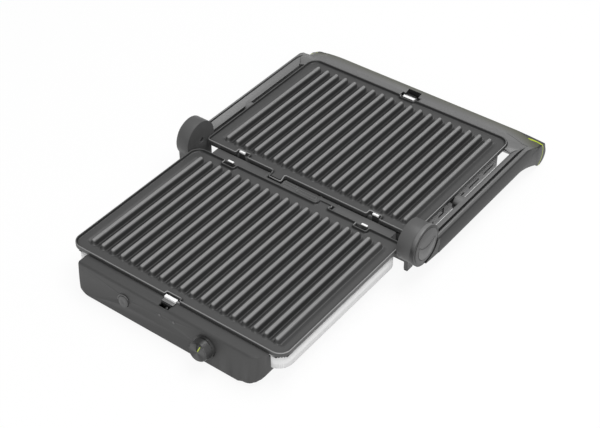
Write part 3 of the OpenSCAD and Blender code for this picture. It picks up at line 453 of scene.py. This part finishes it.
def roundHousing(x, y, z):
    # draws the end out a little and pulls what lies outside the corner's circle back onto it
    p = panel
    across, deep = x / mm, y / mm
    share = smoothStep((across - p["fromX"]) / p["fade"]) * smoothStep((p["fromY"] - deep) / p["fade"])
    across = across + p["reach"] * share
    dx, dy = across - p["cornerX"], p["cornerY"] - deep
    away = np.where((dx > 0) & (dy > 0), np.hypot(dx, dy), 0)
    keep = p["round"] / np.maximum(away, p["round"])
    return (p["cornerX"] + dx * keep) * mm, (p["cornerY"] - dy * keep) * mm, z


pointer = {"turn": 22}


def turnPointer(x, y, z):
    # sets the knob's pointer a little further round
    joint = jointByName["knob_turn"]
    middle = np.array(joint["pos_m"])[:, None]
    turn = np.array(Matrix.Rotation(math.radians(pointer["turn"]), 3, Vector(joint["axis"])))
    return middle + turn @ (np.array((x, y, z)) - middle)


shoulderCuts = [(0, -v * mm) for v in shoulder["cutsX"]] + [(1, hingeY + v * mm) for v in shoulder["cutsY"]]
panelCuts = [(0, v * mm) for v in panel["cutsX"]] + [(1, v * mm) for v in panel["cutsY"]]
softEdges = {  # the width of the rounding, and for some a change of shape and its cuts
    "hinge_yoke": (1.6,), "drip_rail": (0.7,), "hub_cap_right": (0.4,), "release_button": (0.4,),
    "power_button": (0.5,), "button_bezel": (0.3,), "lower_catch": (0.3,), "upper_catch": (0.3,),
    "lower_plate_clips": (0.3,), "upper_plate_clips": (0.3,), "lower_latch_slide": (0.3,),
    "upper_latch_slide": (0.3,),
    "base_housing": (1.0, roundHousing, panelCuts), "lower_pan": (0.3, widenPan),
    "lid_cover": (0.8, raiseRim), "upper_pan": (0.3, raiseRim), "knob_pointer": (0.1, turnPointer),
    "handle_frame": (0.8, easeShoulder, shoulderCuts), "handle_back_shell": (0.8, easeShoulder, shoulderCuts),
    "handle_trim": (0.2, easeShoulder, shoulderCuts),
}
for node, how in softEdges.items():
    softCopy(node, *how)
print("edges rounded on", len(softEdges), "pieces")


def roundedPath(corners, stepDeg=12):
    # walks a closed outline of (x, y, corner radius, lip level) and gives points, outward normals,
    # the room for an inward offset at each point, and the lip level there
    pts, nrm, room, lip = [], [], [], []
    for i, (x, y, r, level) in enumerate(corners):
        here = np.array((x, y))
        before = here - np.array(corners[i - 1][:2])
        after = np.array(corners[(i + 1) % len(corners)][:2]) - here
        before, after = before / np.linalg.norm(before), after / np.linalg.norm(after)
        turn = math.atan2(before[0] * after[1] - before[1] * after[0], before @ after)
        side = 1 if turn > 0 else -1
        inward = np.array((-before[1], before[0])) * side
        centre = here - before * r * math.tan(abs(turn) / 2) + inward * r
        steps = max(3, round(abs(math.degrees(turn)) / stepDeg))
        a = turn * np.arange(steps + 1) / steps
        out = np.column_stack([-inward[0] * np.cos(a) + inward[1] * np.sin(a),
                               -inward[0] * np.sin(a) - inward[1] * np.cos(a)])
        pts += list(centre + out * r)
        nrm += list(out * side)
        room += [r - 0.05 if side > 0 else math.inf] * len(a)
        lip += [level] * len(a)
    return np.array(pts), np.array(nrm), np.array(room), np.array(lip)


def roundedBox(x0, x1, y0, y1, r, stepDeg=12):
    return roundedPath([(x0, y0, r, 0), (x1, y0, r, 0), (x1, y1, r, 0), (x0, y1, r, 0)], stepDeg)[:2]


def gridFaces(rows, columns, flip=False):
    # quads of a grid that is numbered row by row
    a = (np.arange(rows - 1)[:, None] * columns + np.arange(columns - 1)).ravel()
    quads = np.column_stack([a, a + 1, a + columns + 1, a + columns])
    return quads[:, ::-1] if flip else quads


def bandFaces(rings, count):
    # quads between closed rings of equally many points
    start, i = np.arange(rings - 1)[:, None] * count, np.arange(count)
    a, b = (start + i).ravel(), (start + (i + 1) % count).ravel()
    return np.column_stack([a, b, b + count, a + count])


# one grill plate, in millimetres from the datum, with y from the hinge towards the front
plate = {
    "width": 292, "near": 8.7, "far": 223.7, "corner": 14, "tightCorner": 5,
    "notchAt": 93.5, "notchWide": 16, "notchDeep": 7, "notchRound": (2.6, 1.2),
    "catchWide": 19, "catchDeep": 4, "catchRound": (2.3, 1.0),
    "spoutAt": 37, "spoutWide": 18, "spoutReach": 9.4, "spoutLip": 0.3, "spoutRound": (1.6, 2.8),
    "rim": -2.0, "margin": -5.2, "valley": -6.6, "bottom": -11.0, "flange": -7.3,
    "ridges": 19, "pitch": 14.0, "ridgeLong": 184, "ridgeTop": 1.3, "ridgeFoot": 4.5,
}
midY = -(plate["near"] + plate["far"]) / 2


def plateOutline():
    p, rim = plate, plate["rim"]
    half, near, far = p["width"] / 2, -p["near"], -p["far"]
    deep, cut = near - p["notchDeep"], p["catchWide"] / 2
    tip, mouth = near + p["spoutReach"], p["margin"] + p["spoutLip"]
    lipRound, innerRound = p["catchRound"]
    ring = [(-half, far, p["corner"], rim), (-cut, far, lipRound, rim),
            (-cut, far + p["catchDeep"], innerRound, rim), (cut, far + p["catchDeep"], innerRound, rim),
            (cut, far, lipRound, rim), (half, far, p["corner"], rim), (half, near, p["tightCorner"], rim)]
    for x in (p["notchAt"], -p["notchAt"]):
        wide = p["notchWide"] / 2
        lipRound, innerRound = p["notchRound"]
        ring += [(x + wide, near, lipRound, rim), (x + wide, deep, innerRound, rim),
                 (x - wide, deep, innerRound, rim), (x - wide, near, lipRound, rim)]
        if x > 0:
            a, b = p["spoutAt"] + p["spoutWide"] / 2, p["spoutAt"] - p["spoutWide"] / 2
            rootRound, tipRound = p["spoutRound"]
            ring += [(a, near, rootRound, rim), (a, tip, tipRound, mouth), (b, tip, tipRound, mouth),
                     (b, near, rootRound, rim)]
    ring += [(-half, near, p["corner"], rim)]
    return roundedPath(ring)


def roundedDense(pts, nrm, spacing=1.0):
    # the same outline with its straight runs filled in, for distance tests
    denseP, denseN = [], []
    for i in range(len(pts)):
        j = (i + 1) % len(pts)
        steps = max(1, int(np.linalg.norm(pts[j] - pts[i]) / spacing))
        way = np.arange(steps)[:, None] / steps
        denseP.append(pts[i] + (pts[j] - pts[i]) * way)
        denseN.append(np.where(way < 0.5, nrm[i], nrm[j]))
    return np.vstack(denseP), np.vstack(denseN)


def insideBy(x, y, pts, nrm, batch=4000):
    # how far each point lies inside the outline, from its nearest outline point
    flat = np.stack([x.ravel(), y.ravel()], 1)
    out = np.empty(len(flat))
    for k in range(0, len(flat), batch):
        part = flat[k:k + batch]
        gap = part[:, None, :] - pts[None, :, :]
        near = np.argmin((gap ** 2).sum(2), 1)
        out[k:k + batch] = -(gap[np.arange(len(part)), near] * nrm[near]).sum(1)
    return out


def plateRim(turned, pts, nrm, room, lip):
    # one profile carried round the outline. A row of it holds how far in and how high it is, whether the
    # height is from the lip, and how much painted highlight and painted shade it carries
    low, lap, foot = plate["margin"], plate["flange"], plate["bottom"]
    profile = [(4.6, foot, 0, 0, 0), (3.9, foot, 0, 0, 0), (3.6, foot + 0.3, 0, 0, 0),
               (3.5, lap + 0.2, 0, 0, 0), (3.3, lap, 0, 0, 0), (0.4, lap, 0, 0, 0), (0.1, lap + 0.1, 0, 0, 0),
               (0.0, lap + 0.5, 0, 0, 0), (0.0, -0.9, 1, 0, 0), (0.05, -0.5, 1, 0.8, 0),
               (0.2, -0.15, 1, 1, 0), (0.5, 0.0, 1, 1, 0), (0.95, 0.0, 1, 1, 0), (1.2, -0.15, 1, 0.6, 0),
               (1.4, -0.5, 1, 0, 0.5), (1.6, low + 1.3, 0, 0, 0.9), (2.0, low + 0.6, 0, 0, 0.9),
               (2.7, low + 0.2, 0, 0, 0.6), (3.7, low + 0.04, 0, 0, 0.2), (4.7, low, 0, 0, 0)]
    # the painted highlight on the lip is brightest where it faces the front or the right, as the light falls
    lipHighlight = {"way": (0.75, -0.65), "mean": 0.3, "swing": 0.7, "least": 0.12}
    swing = -lipHighlight["swing"] if turned else lipHighlight["swing"]
    lit = np.clip(lipHighlight["mean"] + (nrm @ lipHighlight["way"]) * swing, lipHighlight["least"], 1)
    verts, paint = [], []
    for inset, level, fromLip, bright, shade in profile:
        ring = pts - nrm * np.minimum(inset, room)[:, None]
        verts.append(np.column_stack([ring, level + fromLip * lip]))
        paint.append(np.column_stack([0 * lit, bright * lit, 0 * lit + shade, 0 * lit + 1]))
    return np.vstack(verts), np.vstack(paint), bandFaces(len(profile), len(pts))


# how the field is divided and coloured, in millimetres. A pair is where a change starts and over how far
field = {
    "side": [0.6, 1.1, 1.5, 1.9, 2.25, 2.6, 2.95, 3.3, 3.7, 4.1, 4.5, 5.2, 6.0, 7.0],
    "marginFrom": 7.8, "marginLines": 12, "middleShort": 8, "middleLines": 12,
    "endShort": 7.4, "endPast": 3.6, "endStep": 0.55, "rimFrom": 4.2, "rimTo": 108.0, "rimLines": 16,
    "spoutLines": [109, 110.5, 112, 113.5, 114.5], "trim": 2.2,
    "valley": (4.4, 6), "ends": 4, "wornHalf": 2.3, "wornFade": 0.9, "wornShift": 0.4,
    "shade": (1.6, 0.9), "shadeDeep": (5, 1.2), "shadeNear": 0.62, "shadeRight": (0.5, 2),
    "shadeLeft": (2.5, 6), "shadeEnd": (-3, 5.5), "shadeEndOver": 5,
}


def fieldLines():
    # the grid's lines: close on the ridges' flanks and at their ends, wide in between
    p, f, halfLong = plate, field, plate["ridgeLong"] / 2
    middles = [(i - (p["ridges"] - 1) / 2) * p["pitch"] for i in range(p["ridges"])]
    xs = [m + a * way for m in middles for a in [0] + f["side"] for way in (1, -1)]
    outer = list(np.linspace(middles[-1] + f["marginFrom"], p["width"] / 2, f["marginLines"]))
    xs += outer + [-x for x in outer]
    ends = list(np.arange(halfLong - f["endShort"], halfLong + f["endPast"], f["endStep"]))
    ends += list(np.linspace(halfLong + f["rimFrom"], f["rimTo"], f["rimLines"]))
    middle = halfLong - f["middleShort"]
    ys = list(np.linspace(-middle, middle, f["middleLines"])) + ends + [-e for e in ends] + f["spoutLines"]
    return np.array(sorted(set(np.round(xs, 4)))), np.array(sorted(set(np.round(ys, 4)))) + midY, middles[-1]


def past(distance, change):
    start, over = change
    return (distance - start) / over


def ridgeField(turned, edge):
    # the floor is at margin level and sinks to the valley level in the ridge field, and it rises along
    # each ridge by a smooth step of the distance from the ridge's middle line
    p, f, halfLong = plate, field, plate["ridgeLong"] / 2
    xs, ys, lastRidge = fieldLines()
    gx, gy = np.meshgrid(xs, ys)
    beyond = np.maximum(np.abs(gy - midY) - halfLong + p["ridgeTop"], 0)
    nearest = np.clip(np.round(gx / p["pitch"]), -(p["ridges"] // 2), p["ridges"] // 2) * p["pitch"]
    away = np.hypot(gx - nearest, beyond)
    ground = p["valley"] + (p["margin"] - p["valley"]) * smoothStep(past(away, f["valley"]))
    ground = ground + (p["margin"] - ground) * smoothStep(beyond / f["ends"])
    z = ground * smoothStep((away - p["ridgeTop"]) / (p["ridgeFoot"] - p["ridgeTop"]))
    # the lighter band, partly wear and partly a painted highlight, lies a little to the right of each crest,
    # and the painted shade is longer on the field's left
    way = -1 if turned else 1
    offCrest = np.hypot(gx - nearest - f["wornShift"] * way, beyond)
    wearAndHighlight = smoothStep((f["wornHalf"] - offCrest) / f["wornFade"])
    right, left = past(gx * way - lastRidge, f["shadeRight"]), past(-gx * way - lastRidge, f["shadeLeft"])
    outEnd = past(np.abs(gy - midY) - halfLong, f["shadeEnd"])
    outside = np.maximum(np.where(gx * way > 0, right, left), outEnd)
    shade = smoothStep(1 - outside) * smoothStep(past(away, f["shade"]))
    shade *= 1 - smoothStep(beyond / f["shadeEndOver"])
    shade *= f["shadeNear"] + (1 - f["shadeNear"]) * smoothStep(past(away, f["shadeDeep"]))
    verts = np.column_stack([gx.ravel(), gy.ravel(), z.ravel()])
    zero = np.zeros(gx.size)
    paint = np.column_stack([wearAndHighlight.ravel(), zero, shade.ravel(), zero + 1])
    quads = gridFaces(len(ys), len(xs))
    keep = insideBy(gx, gy, *edge) > f["trim"]
    return verts, paint, quads[keep[quads].all(1)]


def plateUnderside(edge):
    # a bearing rim, a shallow relief and the raised track over the element
    below = {"columns": 147, "rows": 109, "rim": 13, "endAt": 93.5, "trackX": 112, "trackY": 70,
             "relief": 1.4, "fade": 2, "lift": 0.02, "trim": 1.2}
    half = plate["width"] / 2
    bx, by = np.meshgrid(np.linspace(-half, half, below["columns"]),
                         np.linspace(-plate["far"], -plate["near"], below["rows"]))
    outer = np.maximum(np.abs(bx) - half + below["rim"], np.abs(by - midY) - below["endAt"])
    inner = np.maximum(np.abs(bx) - below["trackX"], np.abs(by - midY) - below["trackY"])
    relief = smoothStep(-outer / below["fade"]) * smoothStep(inner / below["fade"])
    z = plate["bottom"] + below["lift"] + below["relief"] * relief
    quads = gridFaces(below["rows"], below["columns"], flip=True)
    keep = insideBy(bx, by, *edge) > below["trim"]
    paint = np.tile((0, 0, 0, 1), (bx.size, 1))
    return np.column_stack([bx.ravel(), by.ravel(), z.ravel()]), paint, quads[keep[quads].all(1)]


def addGrillPlate(name, node, turned):
    # the upper plate is the lower one turned half round the vertical line through the hinge
    outline = plateOutline()
    edge = roundedDense(*outline[:2])
    verts, paint, faces = np.empty((0, 3)), np.empty((0, 4)), []
    parts = (plateRim(turned, *outline), ridgeField(turned, edge), plateUnderside(edge))
    for points, colours, quads in parts:
        faces += (quads + len(verts)).tolist()
        verts, paint = np.vstack([verts, points]), np.vstack([paint, colours])
    mesh = newMesh(name, verts * (-1, -1, 1) if turned else verts, faces)
    layer = mesh.attributes.new("paint", "FLOAT_COLOR", "POINT")
    layer.data.foreach_set("color", paint.astype(np.float32).ravel())
    bm = bmesh.new()
    bm.from_mesh(mesh)
    bmesh.ops.delete(bm, geom=[v for v in bm.verts if not v.link_faces], context="VERTS")
    bm.to_mesh(mesh)
    bm.free()
    mesh.set_sharp_from_angle(angle=math.radians(50))
    addPiece(name, mesh, node, replaces=True)


addGrillPlate("lowerGrillPlate", "lower_plate", False)
addGrillPlate("upperGrillPlate", "upper_plate", True)
print("grill plates built")


# the skin between the grip, the arms and the upper plate, in millimetres from the datum
web = {"gap": 1.0, "start": 206, "back": 234.5, "side": 156.4, "widen": 7.0, "widenOver": 14, "level": -3.6,
       "thick": 1.0, "pocket": 13.0, "crest": -3.5, "bend": 203, "fall": 0.007, "armFrom": 155,
       "armFoot": 163.2, "armSlope": 0.537, "gripFrom": 231, "shoulder": 115, "radius": 110, "gripTop": -2.0,
       "lift": 0.12, "armSteps": 4, "cornerSteps": 15, "gripSteps": 40,
       "profile": [(0, 0.5), (0.05, 0.12), (0.12, 0), (0.35, 0), (0.6, 0), (0.8, 0), (1, 0)]}


def frameLevel(x, y):
    # the frame's top under the web's outer edge: the higher of the arm's crest and the grip's shoulder
    w = web
    fall = w["fall"] * np.maximum(y - w["bend"], 0) ** 2
    arm = w["crest"] - np.maximum(fall, (w["armFoot"] - x) * w["armSlope"])
    out = np.maximum(x - w["shoulder"], 0)
    grip = np.minimum(w["gripTop"] - w["radius"] + np.sqrt(w["radius"] ** 2 - out ** 2), w["level"])
    arm = np.where(x > w["armFrom"], arm, -math.inf)
    grip = np.where(y > w["gripFrom"], grip, -math.inf)
    return np.maximum(arm, grip) + w["lift"]


def webReach(y):
    return web["side"] + web["widen"] * smoothStep((y - web["start"]) / web["widenOver"])


def handleWeb(name, side):
    # straight lines from an inner path, which keeps one gap from the plate's outline, to an outer path on
    # the arm's inner edge and the grip's lip. The share along a line sets its height, less a small drop
    w = web
    half, far, r = plate["width"] / 2 + w["gap"], plate["far"] + w["gap"], plate["corner"] + w["gap"]
    cx, cy = half - r, far - r
    y = np.linspace(w["start"], cy, w["armSteps"])[:-1]
    alongArm = np.column_stack([0 * y + half, y, webReach(y), y])
    a = np.linspace(0, math.pi / 2, w["cornerSteps"])
    up, over = np.minimum(a * 4 / math.pi, 1), np.maximum(a * 4 / math.pi - 1, 0)
    outY = cy + (w["back"] - cy) * up
    outX = webReach(outY) + (cx - webReach(w["back"])) * over
    roundCorner = np.column_stack([cx + r * np.cos(a), cy + r * np.sin(a), outX, outY])
    x = np.linspace(cx, w["pocket"], w["gripSteps"])[1:]
    alongGrip = np.column_stack([x, 0 * x + far, x, 0 * x + w["back"]])
    lines = np.vstack([alongArm, roundCorner, alongGrip])
    inner, outer = lines[:, :2], lines[:, 2:]
    level = frameLevel(*outer.T)
    verts = []
    for share, drop in w["profile"]:
        ring = (inner + (outer - inner) * share) * (side, 1)
        verts.append(np.column_stack([ring, w["level"] + (level - w["level"]) * share - drop]))
    faces = gridFaces(len(w["profile"]), len(lines), flip=side > 0).tolist()
    piece = addPiece(name, newMesh(name, np.vstack(verts), faces), "handle_frame")
    addWall(piece, w["thick"])


handleWeb("handleWebRight", 1)
handleWeb("handleWebLeft", -1)


armRoot = {"radius": 25, "rise": 0.8, "inset": 1.5, "from": -16, "to": -90, "steps": 12,
           "armStart": 27.0, "bottom": -26.5, "top": -6.0, "inner": 160, "outer": 171.7}


def addArmRoot(name, side):
    # closes the arm's flank onto the drum: a flat slab from the drum's lowest point to the arm, cut back
    # to an arc of the drum's round face
    a = armRoot
    angle = np.radians(np.linspace(a["from"], a["to"], a["steps"]))[:-1]
    r = a["radius"] - a["inset"]
    start = [(0, a["rise"] - a["radius"]), (a["armStart"], a["bottom"]), (a["armStart"], a["top"])]
    ring = np.vstack([start, np.column_stack([r * np.cos(angle), a["rise"] + r * np.sin(angle)])])
    n = len(ring)
    verts = np.vstack([np.column_stack([np.full(n, side * x), ring]) for x in (a["inner"], a["outer"])])
    faces = [list(range(n))[::-1], list(range(n, 2 * n))] + bandFaces(2, n).tolist()
    if side < 0:
        faces = [f[::-1] for f in faces]
    mesh = newMesh(name, verts, faces)
    mesh.polygons.foreach_set("use_smooth", [False] * len(mesh.polygons))
    addPiece(name, mesh, "handle_frame")


addArmRoot("armRootRight", 1)
addArmRoot("armRootLeft", -1)


bead = {"width": 1.3, "high": 0.8, "level": -7.05, "steps": 7,
        "loops": [(-26.5, -6.5, 0.2, 5.6, 2.6), (-4.8, 23.0, -3.4, 2.8, 2.6)]}


def railBeads():
    # raised outlines on the rail: a half round swept along each rounded rectangle
    verts, faces = [], []
    for loop in bead["loops"]:
        pts, nrm = roundedBox(*loop)
        faces += (bandFaces(bead["steps"], len(pts)) + sum(len(v) for v in verts)).tolist()
        for a in np.linspace(0, math.pi, bead["steps"]):
            ring = pts - nrm * (bead["width"] / 2 * (1 - math.cos(a)))
            high = bead["level"] + bead["high"] * math.sin(a)
            verts.append(np.column_stack([ring, np.full(len(pts), high)]))
    # the beads take the lighter rail finish, a painted highlight
    addPiece("railBeads", newMesh("railBeads", np.vstack(verts), faces), "drip_rail", looks["bead"])


skirt = {"out": 0.3, "corner": 17.5, "stepDeg": 6, "rise": 1.6, "foot": 0.4, "thick": 0.28}


def panSkirt():
    # the smooth white band round the widened lower pan: its outline, one wall high
    low, high = boxOf("lower_pan")
    x0, y0 = np.array(stretchPan(*low[:2])) / mm - skirt["out"]
    x1, y1 = np.array(stretchPan(*high[:2])) / mm + skirt["out"]
    pts, nrm = roundedBox(x0, x1, y0, y1, skirt["corner"], skirt["stepDeg"])
    levels = (low[2] / mm + skirt["foot"], high[2] / mm + skirt["rise"])
    verts = np.vstack([np.column_stack([pts, np.full(len(pts), z)]) for z in levels])
    mesh = newMesh("panSkirt", verts, bandFaces(2, len(pts)).tolist(), origin=0)
    addWall(addPiece("panSkirt", mesh, "lower_pan"), skirt["thick"])


railBeads()
panSkirt()
print("handle web, arm roots, rail beads and pan skirt built")


def buildStage():
    # a pale floor that is white to the camera and to reflections, and still takes the shadow
    stage = {"size": 4.0, "tone": grey(250), "shadow": 0.1}
    half = stage["size"] / 2
    mesh = bpy.data.meshes.new("floor")
    corners = [(-half, -half, 0), (half, -half, 0), (half, half, 0), (-half, half, 0)]
    mesh.from_pydata(corners, [], [(0, 1, 2, 3)])
    floor = bpy.data.objects.new("floor", mesh)
    bpy.context.scene.collection.objects.link(floor)
    mat, tree, shader = startMaterial("floorPaper", Base_Color=stage["tone"], Roughness=0.9)
    shader.inputs["Specular IOR Level"].default_value = 0.0
    white = addNode(tree, "ShaderNodeEmission", {"Color": (1, 1, 1, 1), "Strength": 1.0})
    path = addNode(tree, "ShaderNodeLightPath")
    seen = addNode(tree, "ShaderNodeMath",
                   {0: path.outputs["Is Camera Ray"], 1: path.outputs["Is Glossy Ray"]}, operation="MAXIMUM")
    seen = addNode(tree, "ShaderNodeMath",
                   {0: seen.outputs[0], 1: path.outputs["Is Transmission Ray"]}, operation="MAXIMUM")
    amount = addNode(tree, "ShaderNodeMath",
                     {0: seen.outputs[0], 1: 1 - stage["shadow"]}, operation="MULTIPLY")
    mixed = addNode(tree, "ShaderNodeMixShader",
                    {0: amount.outputs[0], 1: shader.outputs[0], 2: white.outputs[0]})
    tree.links.new(mixed.outputs[0], tree.nodes["Material Output"].inputs["Surface"])
    mesh.materials.append(mat)


def buildWorld():
    # white to the camera, and dimmer for the light that it gives
    studio = {"lit": 0.42, "seen": 1.0}
    world = bpy.data.worlds.new("studio")
    bpy.context.scene.world = world
    world.use_nodes = True
    tree = world.node_tree
    back = tree.nodes["Background"]
    path = addNode(tree, "ShaderNodeLightPath")
    seen = addNode(tree, "ShaderNodeMath",
                   {0: path.outputs["Is Camera Ray"], 1: path.outputs["Is Transmission Ray"]},
                   operation="MAXIMUM")
    strength = addNode(tree, "ShaderNodeMapRange",
                       {"Value": seen.outputs[0], "To Min": studio["lit"], "To Max": studio["seen"]})
    back.inputs["Color"].default_value = (1, 1, 1, 1)
    tree.links.new(strength.outputs[0], back.inputs["Strength"])


softboxes = {
    "overhead": {"place": (0.35, 0.35, 1.9), "size": (1.6, 1.2), "watts": 26},
    "frontFill": {"place": (0.9, -1.6, 1.1), "size": (1.2, 1.0), "watts": 10},
}


def addSoftbox(name, place, size, watts):
    # a rectangular lamp that points at the origin
    light = bpy.data.lights.new(name, "AREA")
    light.shape = "RECTANGLE"
    light.size, light.size_y = size
    light.energy = watts
    obj = bpy.data.objects.new(name, light)
    obj.location = place
    obj.rotation_euler = (-Vector(place)).to_track_quat("-Z", "Y").to_euler()
    bpy.context.scene.collection.objects.link(obj)


def buildCamera():
    # a long lens from the front right and well above, in millimetres from the datum
    view = {"place": (742.44, -991.66, 1005.83), "aim": (28.29, -38.2, 0.0), "focal": 84.1, "sensor": 36.0}
    cam = bpy.data.cameras.new("viewCamera")
    cam.sensor_width = view["sensor"]
    cam.lens = view["focal"]
    obj = bpy.data.objects.new("viewCamera", cam)
    obj.location = Vector(view["place"]) * mm + Vector(datum)
    aim = Vector(view["aim"]) * mm + Vector(datum)
    obj.rotation_euler = (aim - obj.location).to_track_quat("-Z", "Y").to_euler()
    bpy.context.scene.collection.objects.link(obj)
    bpy.context.scene.camera = obj


buildStage()
buildWorld()
for name, box in softboxes.items():
    addSoftbox(name, **box)
buildCamera()
bpy.context.scene.view_settings.view_transform = "Standard"
print("stage, lights and camera are set")
